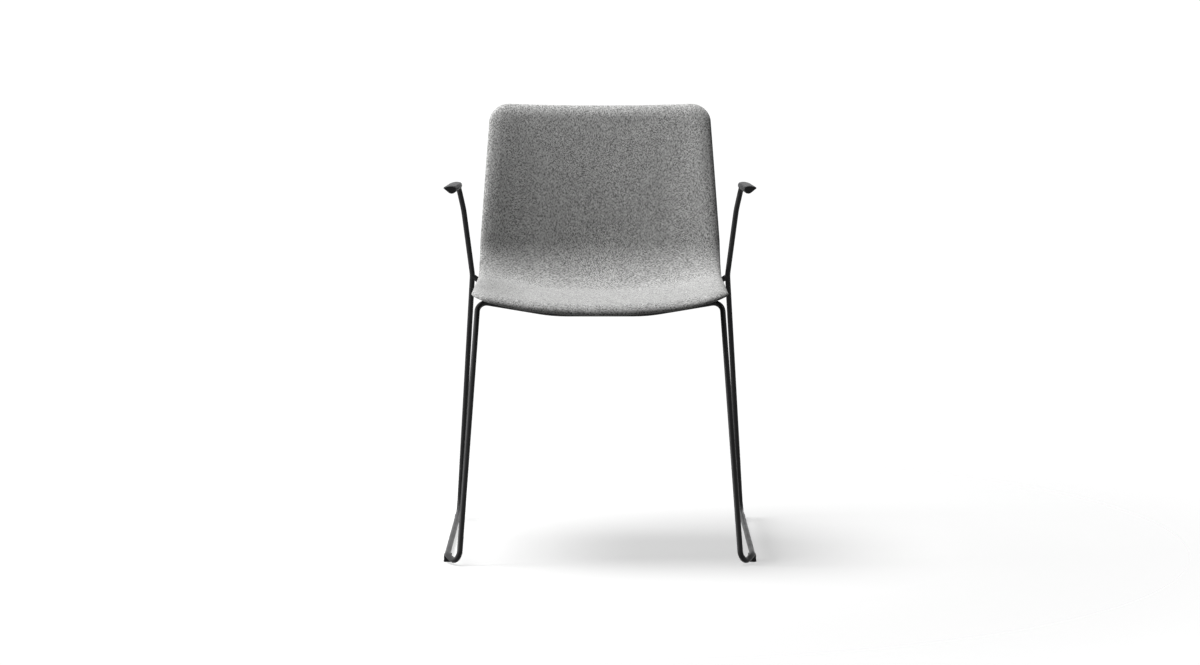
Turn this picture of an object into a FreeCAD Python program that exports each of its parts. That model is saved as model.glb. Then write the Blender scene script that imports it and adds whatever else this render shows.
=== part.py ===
import FreeCAD, Part
import math
import os

from FreeCAD import Vector

# Sled base visitor chair. Sizes are in millimetres and angles in degrees. The chair faces -Y.
# While it is built, depths run back from the front edge of the front glides, heights run up from
# the floor, and widths run out from the middle plane. At the end everything moves along Y, so that
# the origin is the middle of the space that the chair takes on the floor.

# Driving dimensions of the shell's middle line, seen from the side, from the lip to the top.
lip_depth = 20.0
seat_height = 453.5
seat_slope = 0.8
seat_run = 322.0
shell_bend_radius = 100.0
back_recline = 10.0
back_run = 266.0
back_curve_radius = 2550.0

# Driving dimensions of the bent steel rods. The corners are where the straight runs would meet.
# The cross rods follow the seat, so their places are given from its lip and its height.
rod_diameter = 10.0
front_cross_behind_lip = 130.0
front_cross_under_seat = 28.0
front_cross_level_half = 85.0
front_leg_top_half_width = 219.7
front_leg_top_rise = 22.5
toe_half_width = 247.6
toe_depth = -44.0
toe_height = 2.0
runner_half_width = 269.5
runner_front_depth = -6.0
runner_rear_behind_kink = 86.0
kink_half_width = 239.2
kink_behind_seat = 57.0
kink_over_seat = 20.0
upper_half_width = 254.0
upper_before_kink = 23.0
upper_over_kink = 123.5
arm_rear_half_width = 263.5
arm_rear_before_kink = 35.0
arm_rear_over_kink = 169.7
arm_front_half_width = 264.8
arm_length = 231.0
arm_slope = 6.5
cross_bend_radius = 300.0
front_leg_bend_radius = 17.0
toe_bend_radius = 14.0
runner_front_bend_radius = 40.0
runner_rear_bend_radius = 25.0
kink_bend_radius = 60.0
upper_bend_radius = 150.0
arm_bend_radius = 24.0

# Driving dimensions of the rear cross rod, which dips under the shell between the two uprights.
rear_cross_under_kink = 2.3
rear_cross_under_seat = 20.5
rear_cross_slope = 34.0
rear_cross_bend_radius = 30.0
weld_gap = 0.2

# Driving dimensions of the shell's outline and dish, seen from the front.
lip_half_width = 227.8
waist_half_width = 226.8
bend_top_half_width = 225.0
top_half_width = 207.2
front_corner_radius = 45.0
top_corner_radius = 36.0
lip_rise = 26.0
waist_rise = 33.0
top_rise = 15.0
flat_share = 0.5
flat_rise_share = 0.2

# Driving dimensions of the shell's layers, as thicknesses in the middle and at the rim.
cover_thickness = 1.0
foam_thickness = 9.0
foam_rim_thickness = 5.2
core_thickness = 5.4
core_rim_thickness = 3.6
rear_cover_thickness = 3.0
rear_cover_rim_thickness = 1.9
layer_gap = 0.3
hem_width = 4.0
rim_wrap = 9.0
nose_length = 10.0
rim_roundness = 0.55
bend_steps = 6
corner_section_angles = (12, 30, 55, 90)

# Driving dimensions of the four fixings between the rods and the shell.
mount_half_spacing = 108.0
front_mount_run = 152.0
rear_mount_run = 351.0
tab_thickness = 3.0
tab_width = 26.0
spacer_diameter = 18.0
spacer_clearance = 0.5
screw_diameter = 6.0
screw_hole_diameter = 6.6
screw_head_diameter = 10.5
screw_head_height = 3.3
screw_crown_diameter = 6.4
screw_socket_width = 4.0
screw_socket_depth = 2.0
washer_diameter = 12.5
washer_thickness = 1.6
insert_barrel_diameter = 8.6
insert_flange_diameter = 17.0
insert_flange_thickness = 1.2
insert_clearance = 0.2
insert_bore_clearance = 0.1

# Driving dimensions of the arm pads. The outline is given from the middle of the rod.
pad_length = 226.0
pad_front_wall = 14.0
pad_top = 7.8
pad_bottom = 6.4
pad_inner = 8.2
pad_outer = 14.1
pad_tip_height = 3.7
pad_tip_radius = 1.9
pad_bore_clearance = 0.15
pad_end_rounding = 1.6
pad_end_scale = 0.86

# Where the arm pad's outline turns, as shares of its reach inwards, outwards, up and down.
pad_top_inner_share = (0.72, 0.85)
pad_crest_share = 0.15
pad_lip_share = (0.3, 0.95)
pad_belly_outer_share = (0.6, 0.72)
pad_belly_inner_share = (0.52, 0.87)

# Driving dimensions of the glides under the runners.
glide_height = 8.5
glide_wall_height = 2.6
glide_width = 13.0
glide_foot_width = 14.0
glide_foot_height = 2.5
glide_length = 30.0
glide_corner_radius = 3.0
front_glide_depth = 0.0
rear_glide_end_depth = 452.0
peg_diameter = 4.5
peg_length = 4.0
glide_clearance = 0.2

rod_radius = rod_diameter / 2
runner_height = glide_height + rod_radius
front_cross_depth = lip_depth + front_cross_behind_lip
front_cross_height = seat_height - front_cross_under_seat
kink_depth = lip_depth + seat_run + kink_behind_seat
kink_height = seat_height + kink_over_seat
rear_cross_height = seat_height - rear_cross_under_seat
rear_cross_weld_height = kink_height - rear_cross_under_kink
across = Vector(1, 0, 0)
up = Vector(0, 0, 1)


def mirrored(shape):
    """The same piece on the other side of the chair."""
    return shape.mirror(Vector(0, 0, 0), across)


def bent_path(corners):
    """Straight runs from corner to corner, with a tangent arc of the corner's radius at each."""
    edges = []
    start = corners[0][0]
    for before, here, after in zip(corners, corners[1:], corners[2:]):
        corner, radius = here
        way_in = (corner - before[0]).normalize()
        way_out = (after[0] - corner).normalize()
        turn = way_in.getAngle(way_out)
        reach = radius * math.tan(turn / 2)
        arc_start = corner - way_in * reach
        arc_end = corner + way_out * reach
        inward = (way_out - way_in).normalize()
        arc_middle = corner + inward * (radius / math.cos(turn / 2) - radius)
        edges.append(Part.makeLine(start, arc_start))
        edges.append(Part.Arc(arc_start, arc_middle, arc_end).toShape())
        start = arc_end
    edges.append(Part.makeLine(start, corners[-1][0]))
    return Part.Wire(edges)


def round_bar(corners, diameter):
    """A solid round bar bent along the corners."""
    start = corners[0][0]
    direction = corners[1][0] - start
    section = Part.Wire(Part.makeCircle(diameter / 2, start, direction))
    return bent_path(corners).makePipeShell([section], True, False)


def arm_ends():
    """Where the straight middle of the right arm's rod would start at the rear and ends at the front."""
    depth = kink_depth - arm_rear_before_kink
    height = kink_height + arm_rear_over_kink
    rear = Vector(arm_rear_half_width, depth, height)
    front = Vector(arm_front_half_width, depth - arm_length, height + arm_slope)
    return rear, front


def side_rod_corners():
    """The right side rod from the middle of the seat front to the front end of the arm."""
    leg_top_height = front_cross_height + front_leg_top_rise
    runner_rear_depth = kink_depth + runner_rear_behind_kink
    upper_depth = kink_depth - upper_before_kink
    upper_height = kink_height + upper_over_kink
    arm_rear, arm_front = arm_ends()
    return [
        (Vector(0, front_cross_depth, front_cross_height), 0),
        (Vector(front_cross_level_half, front_cross_depth, front_cross_height), cross_bend_radius),
        (Vector(front_leg_top_half_width, front_cross_depth, leg_top_height), front_leg_bend_radius),
        (Vector(toe_half_width, toe_depth, toe_height), toe_bend_radius),
        (Vector(runner_half_width, runner_front_depth, runner_height), runner_front_bend_radius),
        (Vector(runner_half_width, runner_rear_depth, runner_height), runner_rear_bend_radius),
        (Vector(kink_half_width, kink_depth, kink_height), kink_bend_radius),
        (Vector(upper_half_width, upper_depth, upper_height), upper_bend_radius),
        (arm_rear, arm_bend_radius),
        (arm_front, 0),
    ]


def glide_middles():
    """Depths of the middles of the front and rear glides."""
    return [front_glide_depth + glide_length / 2, rear_glide_end_depth - glide_length / 2]


def side_rod():
    """The right side rod with a blind hole under each glide for its peg."""
    rod = round_bar(side_rod_corners(), rod_diameter)
    for depth in glide_middles():
        foot = Vector(runner_half_width, depth, glide_height - glide_clearance)
        hole = Part.makeCylinder(
            peg_diameter / 2 + glide_clearance, peg_length + 2 * glide_clearance, foot, up
        )
        rod = rod.cut(hole)
    return rod


def rear_cross_rod():
    """The rear cross rod, cut to fit against both uprights."""
    drop = rear_cross_weld_height - rear_cross_height
    corner_half_width = kink_half_width - drop / math.tan(math.radians(rear_cross_slope))
    corners = [
        (Vector(-kink_half_width, kink_depth, rear_cross_weld_height), 0),
        (Vector(-corner_half_width, kink_depth, rear_cross_height), rear_cross_bend_radius),
        (Vector(corner_half_width, kink_depth, rear_cross_height), rear_cross_bend_radius),
        (Vector(kink_half_width, kink_depth, rear_cross_weld_height), 0),
    ]
    bar = round_bar(corners, rod_diameter)
    upright = round_bar(side_rod_corners()[5:8], rod_diameter + 2 * weld_gap)
    pieces = bar.cut(upright).cut(mirrored(upright)).Solids
    return max(pieces, key=lambda piece: piece.Volume)


def shell_frame(run):
    """A point of the sitting surface's middle line, the way along it and the way out of it."""
    seat_angle = math.radians(-seat_slope)
    bend_end_angle = math.radians(90 - back_recline)
    bend_run = shell_bend_radius * (bend_end_angle - seat_angle)
    along_seat = min(run, seat_run)
    depth = lip_depth + along_seat * math.cos(seat_angle)
    height = seat_height + along_seat * math.sin(seat_angle)
    angle = seat_angle
    if run > seat_run:
        along_bend = min(run - seat_run, bend_run)
        angle = seat_angle + along_bend / shell_bend_radius
        depth += shell_bend_radius * (math.sin(angle) - math.sin(seat_angle))
        height += shell_bend_radius * (math.cos(seat_angle) - math.cos(angle))
    if run > seat_run + bend_run:
        along_back = run - seat_run - bend_run
        angle = bend_end_angle - along_back / back_curve_radius
        depth += back_curve_radius * (math.sin(bend_end_angle) - math.sin(angle))
        height += back_curve_radius * (math.cos(angle) - math.cos(bend_end_angle))
    point = Vector(0, depth, height)
    along = Vector(0, math.cos(angle), math.sin(angle))
    outward = Vector(0, -math.sin(angle), math.cos(angle))
    return point, along, outward


bend_run = shell_bend_radius * math.radians(90 - back_recline + seat_slope)
shell_run = seat_run + bend_run + back_run


def between(value, stops):
    """The value read off straight lines drawn through the stops."""
    for (start, first), (end, second) in zip(stops, stops[1:]):
        if value <= end:
            return first + (second - first) * (value - start) / (end - start)
    return stops[-1][1]


def full_half_width(run):
    """Half the shell's width before its corners are rounded."""
    return between(
        run,
        [
            (0, lip_half_width),
            (seat_run, waist_half_width),
            (seat_run + bend_run, bend_top_half_width),
            (shell_run, top_half_width),
        ],
    )


def rim_rise(run):
    """How far the rim stands out of the sitting surface's middle line."""
    return between(
        run,
        [
            (0, lip_rise),
            (seat_run, waist_rise),
            (seat_run + bend_run, waist_rise),
            (shell_run, top_rise),
        ],
    )


def outline_half_width(run, inset):
    """Half the width of a layer that lies the inset inside the shell's outline."""
    half = full_half_width(run) - inset
    ends = (
        (run - inset, front_corner_radius - inset),
        (shell_run - inset - run, top_corner_radius - inset),
    )
    for from_end, radius in ends:
        if from_end < radius:
            half += math.sqrt(radius**2 - (radius - from_end) ** 2) - radius
    return half


def dish_rise(side, run):
    """Height of the dish at a distance to the side: a flat arc, then a tighter arc tangent to it."""
    full = full_half_width(run)
    rise = rim_rise(run)
    flat = flat_share * full
    flat_rise = flat_rise_share * rise
    flat_radius = (flat**2 + flat_rise**2) / (2 * flat_rise)
    if side <= flat:
        return flat_radius - math.sqrt(flat_radius**2 - side**2)
    tilt = math.asin(flat / flat_radius)
    over = full - flat
    more = rise - flat_rise
    side_radius = (over**2 + more**2) / (2 * (more * math.cos(tilt) - over * math.sin(tilt)))
    middle_side = flat - side_radius * math.sin(tilt)
    middle_rise = flat_rise + side_radius * math.cos(tilt)
    return middle_rise - math.sqrt(side_radius**2 - (side - middle_side) ** 2)


def depth_under(side, run, depths):
    """Depth of a layer's face under the sitting surface, blended from the middle to the rim."""
    middle_depth, rim_depth = depths
    share = side / full_half_width(run)
    return middle_depth + (rim_depth - middle_depth) * share**2


def shell_point(side, run, depth):
    """The point of the shell at a signed distance to the side and a depth under its surface."""
    point, along, outward = shell_frame(run)
    return point + across * side + outward * (dish_rise(abs(side), run) - depth)


def face_arcs(run, half, depth_at):
    """Three arcs across the shell, from its left to its right."""
    flat = flat_share * full_half_width(run)
    stops = [-half, -(flat + half) / 2, -flat, 0, flat, (flat + half) / 2, half]
    points = [shell_point(side, run, depth_at(abs(side))) for side in stops]
    return [Part.Arc(*points[index : index + 3]).toShape() for index in (0, 2, 4)]


def layer_section(run, inset, top, bottom, rounded):
    """Closed outline of a layer across the shell, with round or square sides."""
    half = outline_half_width(run, inset)
    from_end = min(run - inset, shell_run - inset - run)
    nose = nose_length - inset
    fullness = 1.0
    if rounded and from_end < nose:
        fullness = math.sqrt(1 - (1 - from_end / nose) ** 2)

    def upper(side):
        top_depth = depth_under(side, run, top)
        middle = (top_depth + depth_under(side, run, bottom)) / 2
        return middle + (top_depth - middle) * fullness

    def lower(side):
        bottom_depth = depth_under(side, run, bottom)
        middle = (bottom_depth + depth_under(side, run, top)) / 2
        return middle + (bottom_depth - middle) * fullness

    tucked = half
    if rounded:
        tucked = half - rim_roundness * (lower(half) - upper(half))
    top_arcs = face_arcs(run, tucked, upper)
    bottom_arcs = face_arcs(run, tucked, lower)
    sides = []
    for sign in (1, -1):
        above = shell_point(sign * tucked, run, upper(tucked))
        below = shell_point(sign * tucked, run, lower(tucked))
        if rounded:
            outermost = shell_point(sign * half, run, (upper(half) + lower(half)) / 2)
            sides.append(Part.Arc(above, outermost, below).toShape())
        else:
            sides.append(Part.makeLine(above, below))
    return Part.Wire(top_arcs + [sides[0]] + bottom_arcs[::-1] + [sides[1]])


def layer_runs(inset):
    """Where a layer has its sections: close together at its rounded corners and in the bend."""
    turns = [1 - math.cos(math.radians(angle)) for angle in corner_section_angles]
    front = [inset + (front_corner_radius - inset) * turn for turn in turns]
    top = [(top_corner_radius - inset) * turn for turn in turns]
    bend = [seat_run + bend_run * step / bend_steps for step in range(bend_steps + 1)]
    back = [seat_run + bend_run + (back_run - top_corner_radius) / 2]
    return front + bend + back + [shell_run - inset - step for step in reversed(top)]


def shell_layer(inset, top, bottom, rounded=False):
    """A solid layer of the shell between two depths, the inset inside its outline."""
    sections = [layer_section(run, inset, top, bottom, rounded) for run in layer_runs(inset)]
    return Part.makeLoft(sections, True, True)


def deeper(depths, middle_more, rim_more):
    """A face that lies under another one by one amount in the middle and another at the rim."""
    return depths[0] + middle_more, depths[1] + rim_more


sitting_surface = (0.0, 0.0)
cover_inner = deeper(sitting_surface, cover_thickness, cover_thickness)
foam_top = deeper(cover_inner, layer_gap, layer_gap)
foam_bottom = deeper(foam_top, foam_thickness, foam_rim_thickness)
core_top = deeper(foam_bottom, layer_gap, layer_gap)
core_bottom = deeper(core_top, core_thickness, core_rim_thickness)
rear_top = deeper(core_bottom, layer_gap, layer_gap)
underside = deeper(rear_top, rear_cover_thickness, rear_cover_rim_thickness)
far_below = deeper(underside, rim_wrap, rim_wrap)


def mount_frame(side, run):
    """The fixing's axis: where it meets the sitting surface and the way out of the shell there."""
    point, along, outward = shell_frame(run)
    flat = flat_share * full_half_width(run)
    flat_rise = flat_rise_share * rim_rise(run)
    flat_radius = (flat**2 + flat_rise**2) / (2 * flat_rise)
    tilt = math.asin(side / flat_radius)
    axis = outward * math.cos(tilt) - across * math.sin(tilt)
    return shell_point(side, run, 0), axis


def mounts():
    """The four fixings: name, place on the sitting surface, axis and a point of the rod's axis."""
    found = []
    rows = (
        ("front", front_mount_run, front_cross_depth, front_rod_height(mount_half_spacing)),
        ("rear", rear_mount_run, kink_depth, rear_cross_height),
    )
    for row, run, rod_depth, rod_height in rows:
        for side_name, sign in (("left", -1), ("right", 1)):
            place, axis = mount_frame(sign * mount_half_spacing, run)
            rod_point = Vector(sign * mount_half_spacing, rod_depth, rod_height)
            found.append((f"{row}_{side_name}", place, axis, rod_point))
    return found


def front_rod_height(side):
    """Height of the front cross rod's axis at a distance to the side."""
    slope_run = front_leg_top_half_width - front_cross_level_half
    slope = front_leg_top_rise / slope_run
    return front_cross_height + max(0, side - front_cross_level_half) * slope


def disc(place, axis, depth, thickness, diameter):
    """A cylinder along the fixing's axis, from a depth under the sitting surface downwards."""
    return Part.makeCylinder(diameter / 2, thickness, place - axis * depth, -axis)


def tab_depth(place, axis, rod_point):
    """Depth of the tab's middle plane under the sitting surface: it runs through the rod's axis."""
    return (place - rod_point).dot(axis)


def mount_local_depths():
    """Depths of the shell's faces at the fixings, which lie off the middle."""
    share = (mount_half_spacing / waist_half_width) ** 2

    def at_mount(depths):
        return depths[0] + (depths[1] - depths[0]) * share

    return at_mount(core_top), at_mount(core_bottom), at_mount(rear_top)


core_top_at_mount, core_bottom_at_mount, rear_top_at_mount = mount_local_depths()


def mount_tab(place, axis, rod_point):
    """A flat steel tab with a round end, welded to the side of its cross rod."""
    middle = place - axis * tab_depth(place, axis, rod_point)
    toward_rod = rod_point - middle
    reach = toward_rod.Length
    toward_rod.normalize()
    aside = axis.cross(toward_rod)
    base = middle - axis * (tab_thickness / 2)
    half = tab_width / 2
    corners = [
        base + aside * half,
        base + aside * half + toward_rod * reach,
        base - aside * half + toward_rod * reach,
        base - aside * half,
    ]
    edges = [Part.makeLine(first, second) for first, second in zip(corners, corners[1:])]
    edges.append(Part.Arc(corners[3], base - toward_rod * half, corners[0]).toShape())
    tab = Part.Face(Part.Wire(edges)).extrude(axis * tab_thickness)
    hole = Part.makeCylinder(screw_hole_diameter / 2, tab_thickness, base, axis)
    return tab.cut(hole)


def fixing_set(place, axis, rod_point):
    """The tab, spacer, washer, screw and threaded insert on one fixing's axis."""
    middle_depth = tab_depth(place, axis, rod_point)
    tab_top = middle_depth - tab_thickness / 2
    tab_bottom = middle_depth + tab_thickness / 2
    spacer_top = core_bottom_at_mount + layer_gap
    spacer = disc(place, axis, spacer_top, tab_top - spacer_top, spacer_diameter)
    spacer = spacer.cut(disc(place, axis, 0, tab_bottom, screw_hole_diameter))
    washer = disc(place, axis, tab_bottom, washer_thickness, washer_diameter)
    washer = washer.cut(disc(place, axis, 0, 2 * tab_bottom, screw_hole_diameter))
    flange_top = core_top_at_mount + insert_clearance
    barrel_length = core_bottom_at_mount - flange_top
    insert = disc(place, axis, flange_top, insert_flange_thickness, insert_flange_diameter)
    insert = insert.fuse(disc(place, axis, flange_top, barrel_length, insert_barrel_diameter))
    bore_diameter = screw_diameter + 2 * insert_bore_clearance
    insert = insert.cut(disc(place, axis, 0, 2 * tab_bottom, bore_diameter))
    return {
        "tab": mount_tab(place, axis, rod_point),
        "spacer": spacer,
        "washer": washer,
        "screw": socket_screw(place, axis, flange_top, tab_bottom + washer_thickness),
        "insert": insert.removeSplitter(),
    }


def socket_screw(place, axis, tip_depth, seat_depth):
    """A socket screw with a tapered button head, from its tip down to the seat of its head."""
    shank = disc(place, axis, tip_depth, seat_depth - tip_depth, screw_diameter)
    seat = place - axis * seat_depth
    head = Part.makeCone(screw_head_diameter / 2, screw_crown_diameter / 2, screw_head_height, seat, -axis)
    socket_start = place - axis * (seat_depth + screw_head_height - screw_socket_depth)
    key = hexagon(socket_start, axis, screw_socket_width)
    return shank.fuse(head).removeSplitter().cut(key.extrude(-axis * 2 * screw_socket_depth))


def hexagon(middle, axis, width):
    """A flat hexagon of the given width across its flats, square to the axis."""
    aside = axis.cross(Vector(0, 1, 0)).normalize()
    corner_radius = width / math.sqrt(3)
    corners = []
    for step in range(7):
        turned = FreeCAD.Rotation(axis, 60 * step).multVec(aside)
        corners.append(middle + turned * corner_radius)
    return Part.Face(Part.makePolygon(corners))


def shell_core(axes):
    """The moulded core, with a recessed hole for each threaded insert."""
    core = shell_layer(hem_width + layer_gap, core_top, core_bottom)
    for place, axis in axes:
        recess_depth = core_top_at_mount + insert_flange_thickness + 2 * insert_clearance
        recess_diameter = insert_flange_diameter + 2 * insert_clearance
        hole_diameter = insert_barrel_diameter + 2 * insert_clearance
        core = core.cut(disc(place, axis, 0, recess_depth, recess_diameter))
        core = core.cut(disc(place, axis, 0, far_below[0], hole_diameter))
    return core


def foam_pad():
    """The foam pad on the front of the core."""
    return shell_layer(hem_width + layer_gap, foam_top, foam_bottom)


def front_cover():
    """The woven cover: a skin over the foam, round the rim's hem and turned under up to the seam."""
    outer = shell_layer(0, sitting_surface, underside, True)
    inside = shell_layer(hem_width, cover_inner, rear_top)
    return outer.cut(inside).cut(shell_layer(rim_wrap, foam_bottom, far_below))


def rear_cover(axes):
    """The cover on the rear and underside, with a hole round each spacer."""
    cover = shell_layer(rim_wrap + layer_gap, rear_top, underside)
    for place, axis in axes:
        hole_diameter = spacer_diameter + 2 * spacer_clearance
        cover = cover.cut(disc(place, axis, 0, far_below[0], hole_diameter))
    return cover


def pad_outline(middle, outward, upward, scale):
    """The arm pad's section: thick over the rod, drawn out to a thin outer edge."""

    def at(side, height):
        return middle + outward * (side * scale) + upward * (height * scale)

    tip_middle = pad_outer - pad_tip_radius
    inner_top = at(-pad_top_inner_share[0] * pad_inner, pad_top_inner_share[1] * pad_top)
    tip_top = at(tip_middle, pad_tip_height + pad_tip_radius)
    tip_bottom = at(
        tip_middle + pad_lip_share[0] * pad_tip_radius,
        pad_tip_height - pad_lip_share[1] * pad_tip_radius,
    )
    belly_outer = at(pad_belly_outer_share[0] * pad_inner, -pad_belly_outer_share[1] * pad_bottom)
    belly_inner = at(-pad_belly_inner_share[0] * pad_inner, -pad_belly_inner_share[1] * pad_bottom)
    edges = [
        Part.Arc(inner_top, at(pad_crest_share * pad_outer, pad_top), tip_top).toShape(),
        Part.Arc(tip_top, at(pad_outer, pad_tip_height), tip_bottom).toShape(),
        Part.makeLine(tip_bottom, belly_outer),
        Part.Arc(belly_outer, at(0, -pad_bottom), belly_inner).toShape(),
        Part.Arc(belly_inner, at(-pad_inner, 0), inner_top).toShape(),
    ]
    return Part.Wire(edges)


def arm_pad():
    """The right arm pad, a moulded sleeve pushed over the arm from the front."""
    rear, front = arm_ends()
    forward = (front - rear).normalize()
    outward = forward.cross(up).normalize()
    if outward.x < 0:
        outward = -outward
    upward = outward.cross(forward)
    if upward.z < 0:
        upward = -upward
    front_end = front + forward * pad_front_wall
    stations = [
        (0, pad_end_scale),
        (pad_end_rounding, 1.0),
        (pad_length - 2 * pad_end_rounding, 1.0),
        (pad_length, pad_end_scale),
    ]
    sections = []
    for back, scale in stations:
        sections.append(pad_outline(front_end - forward * back, outward, upward, scale))
    body = Part.makeLoft(sections, True, True)
    bore_start = front + forward * pad_bore_clearance
    bore_radius = rod_radius + pad_bore_clearance
    return body.cut(Part.makeCylinder(bore_radius, pad_length, bore_start, -forward))


def rounded_rectangle(middle_depth, width, length, radius, height):
    """A flat face with round corners under the runner at a height."""
    half = width / 2 - radius
    reach = length / 2 - radius
    middles = []
    for side, depth in ((half, reach), (-half, reach), (-half, -reach), (half, -reach)):
        middles.append(Vector(runner_half_width + side, middle_depth + depth, height))
    edges = []
    for index, middle in enumerate(middles):
        turned = [math.radians(90 * index + step) for step in (0, 45, 90)]
        arc = [middle + Vector(math.cos(turn), math.sin(turn), 0) * radius for turn in turned]
        edges.append(Part.Arc(*arc).toShape())
    for edge, following in zip(edges[:4], edges[1:4] + edges[:1]):
        edges.append(Part.makeLine(edge.Vertexes[1].Point, following.Vertexes[0].Point))
    return Part.Face(Part.Wire(Part.__sortEdges__(edges)))


def glide(middle_depth):
    """A right glide: a wider foot on the floor, a body with a saddle for the runner and a peg."""
    front = middle_depth - glide_length / 2
    foot = rounded_rectangle(middle_depth, glide_foot_width, glide_length, glide_corner_radius, 0)
    upper_length = glide_length - glide_foot_width + glide_width
    upper_radius = glide_corner_radius - (glide_foot_width - glide_width) / 2
    upper = rounded_rectangle(middle_depth, glide_width, upper_length, upper_radius, glide_foot_height)
    upper_height = glide_height + glide_wall_height - glide_foot_height
    body = foot.extrude(up * glide_foot_height).fuse(upper.extrude(up * upper_height))
    saddle_start = Vector(runner_half_width, front - glide_clearance, runner_height)
    saddle_radius = rod_radius + glide_clearance
    saddle_length = glide_length + 2 * glide_clearance
    saddle = Part.makeCylinder(saddle_radius, saddle_length, saddle_start, Vector(0, 1, 0))
    body = body.cut(saddle)
    peg_foot = Vector(runner_half_width, middle_depth, glide_height / 2)
    peg = Part.makeCylinder(peg_diameter / 2, glide_height / 2 + peg_length, peg_foot, up)
    return body.fuse(peg).removeSplitter()


def make_parts():
    """Every sub-part of the chair under its name, still placed by depth."""
    parts = {"right_side_rod": side_rod()}
    parts["left_side_rod"] = mirrored(parts["right_side_rod"])
    parts["rear_cross_rod"] = rear_cross_rod()
    axes = []
    shared = {"screw": [], "washer": [], "insert": []}
    spacers = {"front": [], "rear": []}
    rods = [
        round_bar(side_rod_corners()[:4], rod_diameter + 2 * weld_gap),
        round_bar(rear_cross_middle(), rod_diameter + 2 * weld_gap),
    ]
    cutters = [rods[0], mirrored(rods[0]), rods[1]]
    for name, place, axis, rod_point in mounts():
        axes.append((place, axis))
        fixing = fixing_set(place, axis, rod_point)
        tab = fixing["tab"]
        for cutter in cutters:
            tab = tab.cut(cutter)
        parts[name + "_tab"] = max(tab.Solids, key=lambda piece: piece.Volume)
        spacers[name.split("_")[0]].append(fixing["spacer"])
        for kind, pieces in shared.items():
            pieces.append(fixing[kind])
    for row, pair in spacers.items():
        parts[row + "_spacers"] = Part.makeCompound(pair)
    parts["seat_screws"] = Part.makeCompound(shared["screw"])
    parts["screw_washers"] = Part.makeCompound(shared["washer"])
    parts["threaded_inserts"] = Part.makeCompound(shared["insert"])
    parts["shell_core"] = shell_core(axes)
    parts["foam_pad"] = foam_pad()
    parts["front_cover"] = front_cover()
    parts["rear_cover"] = rear_cover(axes)
    parts["right_arm_pad"] = arm_pad()
    parts["left_arm_pad"] = mirrored(parts["right_arm_pad"])
    for row, middle_depth in zip(("front", "rear"), glide_middles()):
        parts[f"{row}_right_glide"] = glide(middle_depth)
        parts[f"{row}_left_glide"] = mirrored(parts[f"{row}_right_glide"])
    return parts


def rear_cross_middle():
    """Corners of the level middle of the rear cross rod."""
    return [
        (Vector(-mount_half_spacing - tab_width, kink_depth, rear_cross_height), 0),
        (Vector(mount_half_spacing + tab_width, kink_depth, rear_cross_height), 0),
    ]


def main():
    parts = make_parts()
    front = parts["right_side_rod"].optimalBoundingBox(False).YMin
    rear = parts["front_cover"].optimalBoundingBox(False).YMax
    to_origin = Vector(0, -(front + rear) / 2, 0)
    os.makedirs("parts", exist_ok=True)
    for name, shape in parts.items():
        shape.translate(to_origin)
        shape.exportStep(f"parts/{name}.step")
    print("moved forward by", round(-to_origin.y, 3))


main()
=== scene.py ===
import math

import bmesh
import bpy
from mathutils import Matrix, Vector


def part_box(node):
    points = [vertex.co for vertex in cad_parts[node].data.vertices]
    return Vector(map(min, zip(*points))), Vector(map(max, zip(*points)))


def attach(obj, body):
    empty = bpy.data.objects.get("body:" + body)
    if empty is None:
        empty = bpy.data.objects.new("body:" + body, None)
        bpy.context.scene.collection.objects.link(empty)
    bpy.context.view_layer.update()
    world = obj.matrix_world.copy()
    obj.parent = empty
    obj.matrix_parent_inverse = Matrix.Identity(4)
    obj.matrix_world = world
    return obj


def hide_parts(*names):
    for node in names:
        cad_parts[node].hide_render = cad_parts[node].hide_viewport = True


# Looks of the sled base visitor chair. Shell and fabric sizes are in millimetres, as in the solid
# model; everything becomes metres when a mesh is made. The chair faces -Y.
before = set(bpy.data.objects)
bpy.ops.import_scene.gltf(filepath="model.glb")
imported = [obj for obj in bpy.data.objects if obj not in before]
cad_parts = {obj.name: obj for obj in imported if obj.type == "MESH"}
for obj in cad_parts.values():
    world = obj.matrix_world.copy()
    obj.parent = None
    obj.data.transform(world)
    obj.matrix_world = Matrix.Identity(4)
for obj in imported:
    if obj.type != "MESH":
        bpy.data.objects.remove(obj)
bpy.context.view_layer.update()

mm = 0.001

# Sizes of the shell, as in the solid model, but for an underside 0.3 mm further in at its middle.
lip_depth = 20.0
seat_height = 453.5
seat_slope = 0.8
seat_run = 322.0
shell_bend_radius = 100.0
back_recline = 10.0
back_run = 266.0
back_curve_radius = 2550.0
lip_half_width = 227.8
waist_half_width = 226.8
bend_top_half_width = 225.0
top_half_width = 207.2
front_corner_radius = 45.0
top_corner_radius = 36.0
lip_rise = 26.0
waist_rise = 33.0
top_rise = 15.0
flat_share = 0.5
flat_rise_share = 0.2
sitting_depths = (0.0, 0.0)
underside_depths = (19.0, 12.6)
hem_inset = 9.15
rear_cloth_inset = 9.4
nose_length = 10.0
rim_roundness = 0.55

# The padding rolls over softly towards the shell's edge, down to a crest low in its thickness.
roll_reach = 28.0
crest_share = 0.88

# Holes in the rear cloth for the spacers that pass through it.
hole_radius = 9.4
hole_sides = 48
hole_depth = 40.0

# How the sheets of cloth are divided, turned in at their edges and welded where rows meet.
half_columns = 38
row_step = 6.0
corner_steps = 16
rim_steps = 8
hem_steps = 4
hem_tuck = 0.16
narrowest_hem = 0.1
same_place = 0.001
weld_distance = 0.02
rolled_edge = (0.0, 0.3, 0.8, 1.4, 2.2)
cloth_thickness = 1.0

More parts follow.
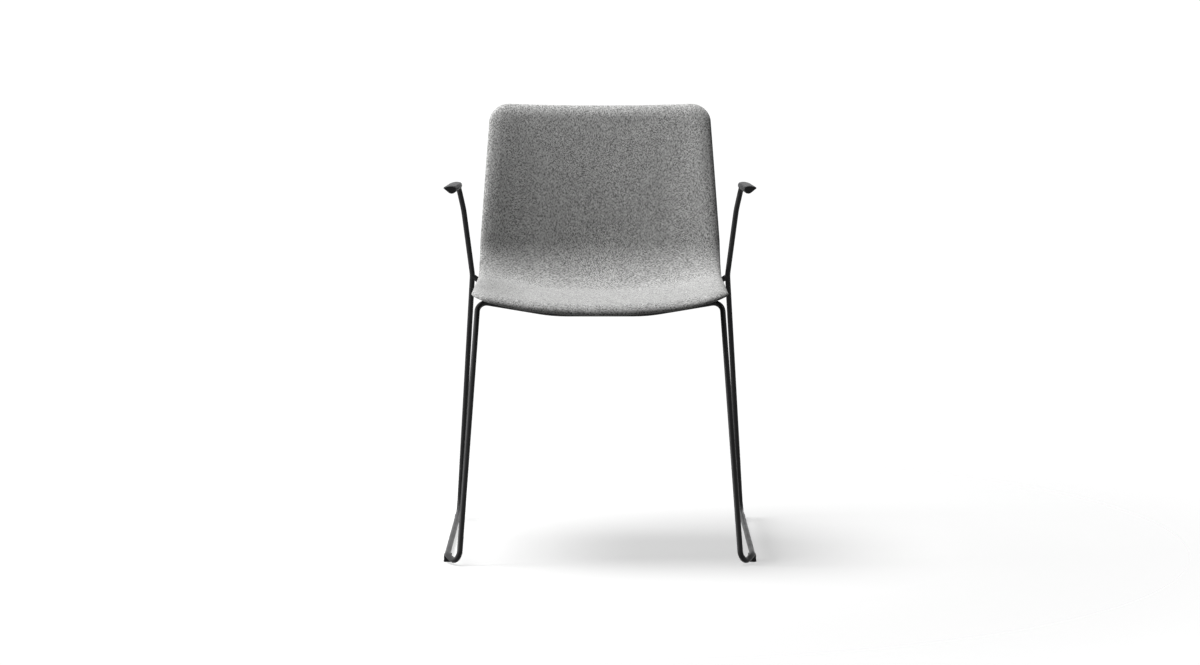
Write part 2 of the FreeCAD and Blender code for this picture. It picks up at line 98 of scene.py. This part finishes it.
# How the front cover is filled and swells over its foam.
crown_cap = 1.2
crown_pressure = 0.08
crown_frames = 20
pinned_margin = 15.0
cloth_quality = 6
cloth_mass = 0.3
cloth_stiffness = 20.0
cloth_bending = 1.0

# Stitches round the hem, and how finely each is made.
stitch_inset = 6.6
stitch_length = 3.4
stitch_pitch = 4.8
stitch_radius = 0.32
stitch_end_share = 0.1
stitch_sides = 6
stitch_rings = 5

# Weave of the cloth: pitch and heights in millimetres, streaks in yarns, other scales per metre.
yarn_pitch = 1.9
yarn_apart = 7.3
streak_scale = 0.5
weft_start = 211.0
rear_cloth_start = 37.0
melange_range = (0.3, 1.7)
tone_span = (0.3, 0.7)
cloud_scale = 35.0
cloud_range = (0.95, 1.05)
yarn_roundness = 0.5
# The colour between the yarns is darkened down to this share: painted shade.
gap_shade = 0.5
yarn_bump = 0.5
yarn_height = 0.15
fuzz_scale = 2200.0
fuzz_bump = 0.3
fuzz_height = 0.1
cloth_gloss = 0.1
cloth_sheen = 0.04
cloth_roughness = (0.8, 1.0)
fabric_colour = (0.435, 0.435, 0.43)
thread_colour = (0.2, 0.2, 0.2)

# Colours of the paint, the plastics and the plating.
coat_colour = (0.03, 0.03, 0.031)
pad_colour = (0.018, 0.018, 0.019)
foot_colour = (0.024, 0.024, 0.025)
screw_colour = (0.16, 0.16, 0.165)
insert_colour = (0.6, 0.61, 0.62)
core_colour = (0.1, 0.1, 0.1)

# Paint, plastic and plating: how uneven they are, how worn at their edges and how their grain stands.
broad_scale = 30.0
uneven_tone = (0.85, 1.15)
gloss_spread = 0.06
worn_span = (0.52, 0.6)
worn_lift = 0.25
grain_bump = 0.5

# Sockets that carry colours on the node that mixes two of them.
first_colour = 6
second_colour = 7
mixed_colour = 2

# Studio: lengths are in metres. Each light has its place, its size and its power in watts.
pure_white = (1.0, 1.0, 1.0, 1.0)
backdrop_strength = 1.05
floor_white = (0.9, 0.9, 0.9)
floor_roughness = 0.9
floor_gloss = 0.1
floor_fade = (0.7, 1.5)
floor_clearness = 0.5
floor_dimming = 0.9
ambient_strength = 0.065
light_target = (0.0, 0.0, 0.45)
lights = (
    ("overhead_softbox", (-0.75, 0.42, 2.8), 1.7, 102.0),
    ("left_softbox", (-2.6, -0.2, 0.95), 1.0, 57.0),
)

# Camera, worked out from the photograph's outline of the chair.
image_width = 1200
sensor_width = 36.0
camera_distance = 5.5696
camera_height = 1.0092
camera_pitch = 6.163
focal_pixels = 3194.9

bend_run = shell_bend_radius * math.radians(90 - back_recline + seat_slope)
shell_run = seat_run + bend_run + back_run
glide_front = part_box("front_right_glide")[0].y / mm


def between(value, stops):
    """The value read off straight lines drawn through the stops."""
    for (start, first), (end, second) in zip(stops, stops[1:]):
        if value <= end:
            return first + (second - first) * (value - start) / (end - start)
    return stops[-1][1]


def full_half_width(run):
    """Half the shell's width before its corners are rounded."""
    return between(
        run,
        [
            (0, lip_half_width),
            (seat_run, waist_half_width),
            (seat_run + bend_run, bend_top_half_width),
            (shell_run, top_half_width),
        ],
    )


def rim_rise(run):
    """How far the rim stands out of the sitting surface's middle line."""
    return between(
        run,
        [(0, lip_rise), (seat_run, waist_rise), (seat_run + bend_run, waist_rise), (shell_run, top_rise)],
    )


def outline_half_width(run, inset=0.0):
    """Half the shell's width at a run, the inset inside its outline, with its corners rounded."""
    half = full_half_width(run) - inset
    ends = (
        (run - inset, front_corner_radius - inset),
        (shell_run - inset - run, top_corner_radius - inset),
    )
    for from_end, radius in ends:
        if from_end < radius:
            half += math.sqrt(max(0.0, radius**2 - (radius - from_end) ** 2)) - radius
    return half


def shell_frame(run):
    """A point of the sitting surface's middle line and the way out of the surface there."""
    seat_angle = math.radians(-seat_slope)
    bend_end_angle = math.radians(90 - back_recline)
    along_seat = min(run, seat_run)
    depth = lip_depth + along_seat * math.cos(seat_angle)
    height = seat_height + along_seat * math.sin(seat_angle)
    angle = seat_angle
    if run > seat_run:
        angle = seat_angle + min(run - seat_run, bend_run) / shell_bend_radius
        depth += shell_bend_radius * (math.sin(angle) - math.sin(seat_angle))
        height += shell_bend_radius * (math.cos(seat_angle) - math.cos(angle))
    if run > seat_run + bend_run:
        angle = bend_end_angle - (run - seat_run - bend_run) / back_curve_radius
        depth += back_curve_radius * (math.sin(bend_end_angle) - math.sin(angle))
        height += back_curve_radius * (math.cos(angle) - math.cos(bend_end_angle))
    return Vector((0, depth + glide_front, height)), Vector((0, -math.sin(angle), math.cos(angle)))


def dish_rise(side, run):
    """Height of the dish at a distance to the side: a flat arc, then a tighter arc tangent to it."""
    full = full_half_width(run)
    rise = rim_rise(run)
    flat = flat_share * full
    flat_rise = flat_rise_share * rise
    flat_radius = (flat**2 + flat_rise**2) / (2 * flat_rise)
    if side <= flat:
        return flat_radius - math.sqrt(flat_radius**2 - side**2)
    tilt = math.asin(flat / flat_radius)
    over = full - flat
    more = rise - flat_rise
    side_radius = (over**2 + more**2) / (2 * (more * math.cos(tilt) - over * math.sin(tilt)))
    middle_side = flat - side_radius * math.sin(tilt)
    middle_rise = flat_rise + side_radius * math.cos(tilt)
    return middle_rise - math.sqrt(side_radius**2 - (side - middle_side) ** 2)


def shell_point(side, run, depth):
    """A point of the shell in metres, at a depth under its sitting surface."""
    point, outward = shell_frame(run)
    place = point + Vector((side, 0, 0)) + outward * (dish_rise(abs(side), run) - depth)
    return place * mm


def depth_at(side, run, depths):
    """A depth blended from the middle to the rim."""
    share = abs(side) / full_half_width(run)
    return depths[0] + (depths[1] - depths[0]) * share**2


def inner_half_width(run, inset):
    """Half the width of the line that lies the inset inside the outline, kept straight past its ends."""
    return outline_half_width(min(max(run, inset), shell_run - inset), inset)


def row_runs(inset, stops):
    """Runs of a sheet's rows: close together at the round corners, and one at each of the stops."""
    turns = [1 - math.cos(math.pi / 2 * step / corner_steps) for step in range(corner_steps + 1)]
    front = [inset + (front_corner_radius - inset) * turn for turn in turns]
    top = [shell_run - inset - (top_corner_radius - inset) * turn for turn in turns]
    count = round((top[-1] - front[-1]) / row_step)
    middle = [front[-1] + (top[-1] - front[-1]) * step / count for step in range(1, count)]
    runs = sorted(front + middle + top)
    for stop in stops:
        nearest = min(range(1, len(runs) - 1), key=lambda index: abs(runs[index] - stop))
        runs[nearest] = stop
    return runs


def fullness(run):
    """How much of its thickness the shell has near its front and top ends."""
    from_end = min(run, shell_run - run)
    if from_end >= nose_length:
        return 1.0
    return math.sqrt(max(0.0, 1 - (1 - from_end / nose_length) ** 2))


def add_object(name, content):
    """A new object of the scene that holds a mesh, a light or a camera."""
    piece = bpy.data.objects.new(name, content)
    bpy.context.scene.collection.objects.link(piece)
    return piece


def finish_piece(piece, material):
    """Gives a piece its material and its place in the chair."""
    piece.data.materials.clear()
    piece.data.materials.append(material)
    for face in piece.data.polygons:
        face.use_smooth = True
    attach(piece, "root")


def grid_mesh(name, rows, is_cut, padding=None):
    """A quad mesh through rows of points, with the cloth laid out flat as its UV map."""
    count = len(rows[0])
    vertices = [place for row in rows for place in row]
    faces = []
    for upper in range(len(rows) - 1):
        for step in range(count - 1):
            if is_cut(upper, step):
                continue
            first = upper * count + step
            faces.append((first, first + 1, first + count + 1, first + count))
    mesh = bpy.data.meshes.new(name)
    mesh.from_pydata(vertices, [], faces)
    if padding:
        mesh.attributes.new("padding", "FLOAT", "POINT").data.foreach_set("value", padding)
    flat = mesh.uv_layers.new(name="cloth")
    laid_out = laid_out_flat(rows)
    for loop in mesh.loops:
        flat.data[loop.index].uv = laid_out[loop.vertex_index]
    work = bmesh.new()
    work.from_mesh(mesh)
    bmesh.ops.remove_doubles(work, verts=work.verts, dist=weld_distance * mm)
    loose = [vertex for vertex in work.verts if not vertex.link_faces]
    bmesh.ops.delete(work, geom=loose, context="VERTS")
    bmesh.ops.recalc_face_normals(work, faces=work.faces)
    work.to_mesh(mesh)
    work.free()
    return mesh


def lengths_along(line):
    """How far each point of a line lies from its start, along the line."""
    gone = [0.0]
    for before, here in zip(line, line[1:]):
        gone.append(gone[-1] + (here - before).length)
    return gone


def laid_out_flat(rows):
    """Where each point of the rows lies on the flat cloth, across from its middle and along it."""
    middle = len(rows[0]) // 2
    places = []
    for row, along in zip(rows, lengths_along([row[middle] for row in rows])):
        gone = lengths_along(row)
        places += [(distance - gone[middle], along) for distance in gone]
    return places


def edge_distance(side, run):
    """How far a place lies inside the shell's rounded outline."""
    aside = full_half_width(run) - abs(side)
    nearest = min(aside, run, shell_run - run)
    for from_end, radius in ((run, front_corner_radius), (shell_run - run, top_corner_radius)):
        if from_end < radius and aside < radius:
            nearest = radius - math.hypot(radius - aside, radius - from_end)
    return max(0.0, nearest)


def cover_point(side, run, share):
    """A point of the cover: share 1 is on the sitting side, 0 on the rim's crest, -1 underneath."""
    top_depth = depth_at(side, run, sitting_depths)
    bottom_depth = depth_at(side, run, underside_depths)
    crest_depth = top_depth + crest_share * (bottom_depth - top_depth)
    if share > 0:
        short = 1 - min(edge_distance(side, run) / roll_reach, 1.0)
        return shell_point(side, run, crest_depth + (top_depth - crest_depth) * math.sqrt(1 - short**2))
    return shell_point(side, run, crest_depth - share * (bottom_depth - crest_depth) * fullness(run))


def cover_row(run):
    """Points across the front cover, from the middle underneath and round both rims, and their padding."""
    half = outline_half_width(run)
    thickness = depth_at(half, run, underside_depths) - depth_at(half, run, sitting_depths)
    reach = rim_roundness * thickness * fullness(run)
    tucked = half - reach
    inner = min(inner_half_width(run, hem_inset), tucked - narrowest_hem)
    sides = [inner * step / half_columns for step in range(half_columns)]
    sides += [inner + (tucked - inner) * step / hem_steps for step in range(hem_steps)]
    on_end = min(abs(run - hem_inset), abs(shell_run - hem_inset - run)) < same_place

    def below(side):
        """The share of a place underneath, a little further into the shell on the hem's own edge."""
        at_edge = abs(side - inner) < same_place or (on_end and side < inner)
        return hem_tuck - 1 if at_edge else -1

    arc = []
    for step in range(rim_steps + 1):
        turn = math.pi * step / rim_steps
        arc.append((tucked + reach * math.sin(turn), math.cos(turn)))
    stations = [(-side, below(side)) for side in sides]
    stations += [(-side, share) for side, share in reversed(arc)]
    stations += [(-side, 1) for side in reversed(sides)]
    stations += [(side, 1) for side in sides[1:]]
    stations += arc
    stations += [(side, below(side)) for side in reversed(sides)]
    row = [cover_point(side, run, share) for side, share in stations]
    padding = []
    for side, share in stations:
        from_edge = min(half - abs(side), run, shell_run - run)
        ease = min(max((from_edge - pinned_margin) / pinned_margin, 0.0), 1.0)
        padding.append(ease if share == 1 else 0.0)
    return row, padding


def front_cover_sheet():
    """The woven cover as one open sheet: front, rim and the hem that is turned under."""
    runs = row_runs(0.0, (hem_inset, shell_run - hem_inset))
    made = [cover_row(run) for run in runs]
    rows = [row for row, _ in made]
    padding = [value for _, values in made for value in values]
    last = len(rows[0]) - 2

    def is_cut(upper, step):
        """True on the underside, inside the hem."""
        inside = step < half_columns or step > last - half_columns
        return inside and hem_inset <= runs[upper] and runs[upper + 1] <= shell_run - hem_inset

    mesh = grid_mesh("seat_upholstery", rows, is_cut, padding)
    return add_object("seat_upholstery", mesh)


def rear_cloth_sheet():
    """The cloth on the rear and underside, with its edge rolled in beside the hem."""
    runs = row_runs(rear_cloth_inset, ())
    rows = []
    for run in runs:
        half = outline_half_width(run, rear_cloth_inset)
        inner = half - rolled_edge[-1]
        sides = [inner * step / half_columns for step in range(half_columns)]
        sides += [half - back for back in reversed(rolled_edge)]
        row = []
        for side in [-side for side in reversed(sides)] + sides[1:]:
            from_edge = min(half - abs(side), run - rear_cloth_inset, shell_run - rear_cloth_inset - run)
            short = max(0.0, rolled_edge[-1] - from_edge)
            rolled = rolled_edge[-1] - math.sqrt(rolled_edge[-1] ** 2 - short**2)
            row.append(shell_point(side, run, depth_at(side, run, underside_depths) - rolled))
        rows.append(row)
    mesh = grid_mesh("rear_cloth", rows, lambda upper, step: False)
    return add_object("rear_cloth", mesh)


def crowned(piece):
    """Lets the cloth swell a little over its foam: a simulation whose rim is pinned and reach capped."""
    mesh = piece.data
    padding = [value.value for value in mesh.attributes["padding"].data]
    pins = piece.vertex_groups.new(name="pinned")
    for index, free in enumerate(padding):
        pins.add([index], 1.0 - free, "REPLACE")
    cloth = piece.modifiers.new("crown", "CLOTH")
    cloth.settings.quality = cloth_quality
    cloth.settings.mass = cloth_mass
    cloth.settings.tension_stiffness = cloth_stiffness
    cloth.settings.compression_stiffness = cloth_stiffness
    cloth.settings.bending_stiffness = cloth_bending
    cloth.settings.vertex_group_mass = "pinned"
    cloth.settings.use_pressure = True
    cloth.settings.uniform_pressure_force = crown_pressure
    cloth.settings.effector_weights.gravity = 0
    scene = bpy.context.scene
    for number in range(1, crown_frames + 1):
        scene.frame_set(number)
    swollen = piece.evaluated_get(bpy.context.evaluated_depsgraph_get()).to_mesh()
    rest = [vertex.co.copy() for vertex in mesh.vertices]
    moves = [swollen.vertices[index].co - place for index, place in enumerate(rest)]
    piece.modifiers.remove(cloth)
    scene.frame_set(1)
    largest = 0.0
    for vertex, place, move, free in zip(mesh.vertices, rest, moves, padding):
        largest = max(largest, move.length)
        limit = crown_cap * mm * free
        if move.length > limit:
            move = move * (limit / move.length)
        vertex.co = place + move
    piece.vertex_groups.clear()
    print("largest swell before the cap", round(largest / mm, 2))


def thickened(piece, thickness):
    """Gives an open sheet of cloth its thickness, towards the inside of the shell."""
    solid = piece.modifiers.new("thickness", "SOLIDIFY")
    solid.thickness = thickness * mm
    solid.offset = -1
    settle(piece)


def settle(piece):
    """Turns a piece's modifiers into its mesh."""
    graph = bpy.context.evaluated_depsgraph_get()
    done = bpy.data.meshes.new_from_object(piece.evaluated_get(graph))
    piece.modifiers.clear()
    piece.data = done


def seam_path(inset):
    """Points round the underside, the inset inside the shell's outline."""
    line = []
    for run in row_runs(inset, ()):
        line.append((outline_half_width(run, inset), run))
    front = [(line[0][0] * step / half_columns, inset) for step in range(half_columns)]
    top = [(line[-1][0] * step / half_columns, shell_run - inset) for step in range(half_columns)]
    right = front + line + top[::-1]
    left = [(-side, run) for side, run in reversed(right)]
    return [cover_point(side, run, -1) for side, run in right + left]


def add_stitch(vertices, faces, middle, turn):
    """Adds one stitch of thread: rings of points that swell towards its middle."""
    first = len(vertices)
    for ring in range(stitch_rings + 1):
        swing = math.pi * ring / stitch_rings
        reach = stitch_radius * mm * max(math.sin(swing), stitch_end_share)
        along = -stitch_length * mm / 2 * math.cos(swing)
        for step in range(stitch_sides):
            angle = 2 * math.pi * step / stitch_sides
            spoke = Vector((reach * math.cos(angle), reach * math.sin(angle), along))
            vertices.append(middle + turn @ spoke)
    for ring in range(stitch_rings):
        here = first + ring * stitch_sides
        above = here + stitch_sides
        for step in range(stitch_sides):
            beside = (step + 1) % stitch_sides
            faces.append((here + step, here + beside, above + beside, above + step))
    last = first + stitch_rings * stitch_sides
    faces.append(tuple(first + step for step in reversed(range(stitch_sides))))
    faces.append(tuple(last + step for step in range(stitch_sides)))


def stitches():
    """Short stitches of thread round the hem, through the cover's underside."""
    path = seam_path(stitch_inset)
    vertices = []
    faces = []
    ahead = 0.0
    for here, following in zip(path, path[1:]):
        span = following - here
        turn = span.to_track_quat("Z", "X")
        while ahead < span.length:
            add_stitch(vertices, faces, here + span.normalized() * ahead, turn)
            ahead += stitch_pitch * mm
        ahead -= span.length
    mesh = bpy.data.meshes.new("hem_stitches")
    mesh.from_pydata(vertices, [], faces)
    return add_object("hem_stitches", mesh)


def cut_spacer_holes(piece):
    """Cuts a round hole in the rear cloth for each spacer."""
    mesh = bpy.data.meshes.new("hole_cutter")
    work = bmesh.new()
    for node in ("front_spacers", "rear_spacers"):
        for side in (-1, 1):
            middle, axis = spacer_axis(node, side)
            turn = axis.to_track_quat("Z", "X").to_matrix().to_4x4()
            bmesh.ops.create_cone(
                work,
                cap_ends=True,
                segments=hole_sides,
                radius1=hole_radius * mm,
                radius2=hole_radius * mm,
                depth=hole_depth * mm,
                matrix=Matrix.Translation(middle) @ turn,
            )
    work.to_mesh(mesh)
    work.free()
    cutter = add_object("hole_cutter", mesh)
    hole = piece.modifiers.new("holes", "BOOLEAN")
    hole.operation = "DIFFERENCE"
    hole.solver = "EXACT"
    hole.object = cutter
    bpy.context.view_layer.update()
    settle(piece)
    bpy.data.objects.remove(cutter)


def spacer_axis(node, side):
    """The middle and the axis of one of the two spacers of a node, in metres."""
    places = [vertex.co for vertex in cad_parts[node].data.vertices if vertex.co.x * side > 0]
    middle = sum(places, Vector()) / len(places)
    rising = sorted(places, key=lambda place: place.z)
    half = len(rising) // 2
    low = sum(rising[:half], Vector()) / half
    high = sum(rising[-half:], Vector()) / half
    return middle, (high - low).normalized()


def new_material(name):
    """An empty material with a principled shader: its nodes, its links and the shader."""
    material = bpy.data.materials.new(name)
    material.use_nodes = True
    tree = material.node_tree
    return material, tree, tree.nodes["Principled BSDF"]


def add_node(tree, kind, settings=None, inputs=None):
    """A node with its settings, and with its inputs set or linked."""
    node = tree.nodes.new(kind)
    for key, value in (settings or {}).items():
        setattr(node, key, value)
    for key, value in (inputs or {}).items():
        if isinstance(value, bpy.types.NodeSocket):
            tree.links.new(value, node.inputs[key])
        else:
            node.inputs[key].default_value = value
    return node


def reckon(tree, operation, first, second=0.0):
    """The result of one sum of two values."""
    return add_node(tree, "ShaderNodeMath", {"operation": operation}, {0: first, 1: second}).outputs[0]


def ranged(tree, value, low, high, start=0.0, end=1.0):
    """A value moved from one range to another."""
    inputs = {"Value": value, "From Min": start, "From Max": end, "To Min": low, "To Max": high}
    return add_node(tree, "ShaderNodeMapRange", None, inputs).outputs[0]


def noise(tree, place, scale, detail=2.0):
    """Soft noise in three dimensions."""
    inputs = {"Vector": place, "Scale": scale, "Detail": detail}
    return add_node(tree, "ShaderNodeTexNoise", None, inputs).outputs[0]


def scaled_colour(tree, colour, amount):
    """A colour made lighter or darker by an amount."""
    grey = add_node(tree, "ShaderNodeCombineColor", None, {0: amount, 1: amount, 2: amount}).outputs[0]
    settings = {"data_type": "RGBA", "blend_type": "MULTIPLY"}
    inputs = {0: 1.0, first_colour: (*colour, 1.0), second_colour: grey}
    return add_node(tree, "ShaderNodeMix", settings, inputs).outputs[mixed_colour]


def bumped(tree, height, strength, distance, under=None):
    """A surface raised by a height, over another raised surface where one is given."""
    inputs = {"Height": height, "Strength": strength, "Distance": distance * mm}
    if under is not None:
        inputs["Normal"] = under
    return add_node(tree, "ShaderNodeBump", None, inputs).outputs[0]


def yarns(tree, across, along):
    """Melange tone of one set of yarns: streaks along each yarn, another for every yarn."""
    number = reckon(tree, "MULTIPLY", reckon(tree, "FLOOR", across), yarn_apart)
    place = add_node(tree, "ShaderNodeCombineXYZ", None, {0: number, 1: along, 2: 0.0}).outputs[0]
    return noise(tree, place, streak_scale, detail=1.0)


def woven_cloth(name, start):
    """Plain weave of melange yarn: light and dark streaks, round yarns with painted shade in the gaps
    between them, and a soft sheen.
    """
    material, tree, shader = new_material(name)
    flat = add_node(tree, "ShaderNodeUVMap", {"uv_map": "cloth"}).outputs[0]
    parts = add_node(tree, "ShaderNodeSeparateXYZ", None, {0: flat}).outputs
    across = reckon(tree, "ADD", reckon(tree, "DIVIDE", parts[0], yarn_pitch * mm), start)
    along = reckon(tree, "ADD", reckon(tree, "DIVIDE", parts[1], yarn_pitch * mm), start)
    warp = yarns(tree, across, along)
    weft = yarns(tree, reckon(tree, "ADD", along, weft_start), across)
    cells = reckon(tree, "ADD", reckon(tree, "FLOOR", across), reckon(tree, "FLOOR", along))
    on_top = reckon(tree, "FLOORED_MODULO", cells, 2.0)
    either = {0: on_top, 2: warp, 3: weft}
    tone = add_node(tree, "ShaderNodeMix", {"data_type": "FLOAT"}, either).outputs[0]
    cloud = noise(tree, flat, cloud_scale)
    light = ranged(tree, tone, *melange_range, *tone_span)
    light = reckon(tree, "MULTIPLY", light, ranged(tree, cloud, *cloud_range, *tone_span))
    waves = []
    for way in (across, along):
        wave = reckon(tree, "SINE", reckon(tree, "MULTIPLY", way, math.pi))
        waves.append(reckon(tree, "ABSOLUTE", wave))
    height = reckon(tree, "POWER", reckon(tree, "MULTIPLY", *waves), yarn_roundness)
    # Painted shade: the cloth's colour is darker where the yarns dip, in the gaps between them.
    shade = ranged(tree, height, gap_shade, 1.0)
    melange_and_gap_shade = scaled_colour(tree, fabric_colour, reckon(tree, "MULTIPLY", light, shade))
    tree.links.new(melange_and_gap_shade, shader.inputs["Base Color"])
    fuzz = noise(tree, flat, fuzz_scale)
    woven = bumped(tree, height, yarn_bump, yarn_height)
    fuzzy = bumped(tree, fuzz, fuzz_bump, fuzz_height, woven)
    tree.links.new(fuzzy, shader.inputs["Normal"])
    tree.links.new(ranged(tree, fuzz, *cloth_roughness), shader.inputs["Roughness"])
    shader.inputs["Specular IOR Level"].default_value = cloth_gloss
    shader.inputs["Sheen Weight"].default_value = cloth_sheen
    return material


def grained(name, colour, roughness, grain, depth, metal=0.0, gloss=0.12):
    """A painted, moulded or plated surface: fine grain, uneven gloss and slightly worn edges.

    The grain is per metre and its depth in millimetres.
    """
    material, tree, shader = new_material(name)
    place = add_node(tree, "ShaderNodeTexCoord").outputs["Object"]
    fine = noise(tree, place, grain, detail=3.0)
    broad = noise(tree, place, broad_scale)
    worn = add_node(tree, "ShaderNodeNewGeometry").outputs["Pointiness"]
    edge = ranged(tree, worn, 0.0, worn_lift, *worn_span)
    light = reckon(tree, "ADD", ranged(tree, broad, *uneven_tone, *tone_span), edge)
    tree.links.new(scaled_colour(tree, colour, light), shader.inputs["Base Color"])
    uneven = ranged(tree, broad, roughness - gloss_spread, roughness + gloss_spread, *tone_span)
    tree.links.new(uneven, shader.inputs["Roughness"])
    tree.links.new(bumped(tree, fine, grain_bump, depth), shader.inputs["Normal"])
    shader.inputs["Metallic"].default_value = metal
    shader.inputs["Specular IOR Level"].default_value = gloss
    return material


def dress_node(name, material):
    """Gives a solid of the model its better material."""
    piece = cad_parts[name]
    for slot in piece.material_slots:
        slot.material = material


def floor_material():
    """White floor that keeps the chair's shadow and fades into the white around it."""
    material, tree, shader = new_material("studio_floor")
    shader.inputs["Base Color"].default_value = (*floor_white, 1.0)
    shader.inputs["Roughness"].default_value = floor_roughness
    shader.inputs["Specular IOR Level"].default_value = floor_gloss
    place = add_node(tree, "ShaderNodeTexCoord").outputs["Object"]
    away = add_node(tree, "ShaderNodeVectorMath", {"operation": "LENGTH"}, {0: place}).outputs["Value"]
    fade = ranged(tree, away, floor_clearness, 1.0, *floor_fade)
    below = add_node(tree, "ShaderNodeNewGeometry").outputs["Backfacing"]
    seen = add_node(tree, "ShaderNodeLightPath").outputs["Is Camera Ray"]
    dimmed = ranged(tree, seen, floor_dimming, 0.0)
    unseen = reckon(tree, "MAXIMUM", reckon(tree, "MAXIMUM", fade, below), dimmed)
    clear = add_node(tree, "ShaderNodeBsdfTransparent").outputs[0]
    mixed = add_node(tree, "ShaderNodeMixShader", None, {0: unseen, 1: shader.outputs[0], 2: clear})
    tree.links.new(mixed.outputs[0], tree.nodes["Material Output"].inputs["Surface"])
    return material


def make_floor():
    """A large flat floor under the glides."""
    mesh = bpy.data.meshes.new("studio_floor")
    half = floor_fade[1]
    corners = [(-half, -half, 0), (half, -half, 0), (half, half, 0), (-half, half, 0)]
    mesh.from_pydata(corners, [], [(0, 1, 2, 3)])
    floor = add_object("studio_floor", mesh)
    floor.data.materials.append(floor_material())


def make_world():
    """White behind the chair, and a dimmer even light round it."""
    world = bpy.data.worlds.new("studio")
    bpy.context.scene.world = world
    world.use_nodes = True
    tree = world.node_tree
    rays = add_node(tree, "ShaderNodeLightPath").outputs
    mirrored = reckon(tree, "MAXIMUM", rays["Is Glossy Ray"], rays["Is Transmission Ray"])
    seen = reckon(tree, "MAXIMUM", rays["Is Camera Ray"], mirrored)
    inputs = {"Color": pure_white, "Strength": backdrop_strength}
    white = add_node(tree, "ShaderNodeBackground", None, inputs).outputs[0]
    light = tree.nodes["Background"]
    light.inputs["Color"].default_value = pure_white
    light.inputs["Strength"].default_value = ambient_strength
    mixed = add_node(tree, "ShaderNodeMixShader", None, {0: seen, 1: light.outputs[0], 2: white})
    tree.links.new(mixed.outputs[0], tree.nodes["World Output"].inputs["Surface"])


def make_lights():
    """Soft studio lights, each facing the middle of the chair."""
    for name, place, size, power in lights:
        light = bpy.data.lights.new(name, "AREA")
        light.shape = "DISK"
        light.size = size
        light.energy = power
        lamp = add_object(name, light)
        lamp.location = place
        towards = Vector(light_target) - Vector(place)
        lamp.rotation_euler = towards.to_track_quat("-Z", "Y").to_euler()


def make_camera():
    """The photograph's view: from the front, a little above the chair's top, looking slightly down."""
    camera = bpy.data.cameras.new("camera")
    camera.sensor_fit = "HORIZONTAL"
    camera.sensor_width = sensor_width
    camera.lens = focal_pixels * sensor_width / image_width
    eye = add_object("camera", camera)
    eye.location = (0, glide_front * mm - camera_distance, camera_height)
    eye.rotation_euler = (math.radians(90 - camera_pitch), 0, 0)
    bpy.context.scene.camera = eye


def make_upholstery():
    """The padded front cover, the rear cloth and the stitches of the hem."""
    front_cloth = woven_cloth("grey_melange", start=0.0)
    cover = front_cover_sheet()
    crowned(cover)
    thickened(cover, cloth_thickness)
    finish_piece(cover, front_cloth)
    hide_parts("foam_pad", "front_cover")
    rear = rear_cloth_sheet()
    thickened(rear, cloth_thickness)
    cut_spacer_holes(rear)
    finish_piece(rear, woven_cloth("grey_melange_rear", start=rear_cloth_start))
    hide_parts("rear_cover")
    thread = grained("grey_thread", thread_colour, roughness=0.8, grain=4000.0, depth=0.05)
    finish_piece(stitches(), thread)


def dress_nodes():
    """Better materials on the solids that stay."""
    coat = grained("black_powder_coat", coat_colour, roughness=0.42, grain=1100.0, depth=0.03)
    pad = grained("grained_black_plastic", pad_colour, roughness=0.5, grain=1900.0, depth=0.06)
    foot = grained("black_glide_plastic", foot_colour, roughness=0.6, grain=1500.0, depth=0.04)
    screw = grained("black_zinc", screw_colour, roughness=0.38, grain=2500.0, depth=0.01, metal=1.0)
    insert = grained("bright_zinc", insert_colour, roughness=0.35, grain=2500.0, depth=0.01, metal=1.0)
    core = grained("moulded_core", core_colour, roughness=0.6, grain=600.0, depth=0.05)
    dressed = {
        coat: ("side_rod", "cross_rod", "_tab"),
        pad: ("arm_pad",),
        foot: ("glide", "spacers"),
        screw: ("seat_screws", "screw_washers"),
        insert: ("threaded_inserts",),
        core: ("shell_core",),
    }
    for material, endings in dressed.items():
        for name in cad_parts:
            if name.endswith(endings):
                dress_node(name, material)


bpy.context.scene.view_settings.view_transform = "Standard"
make_upholstery()
dress_nodes()
make_floor()
make_world()
make_lights()
make_camera()
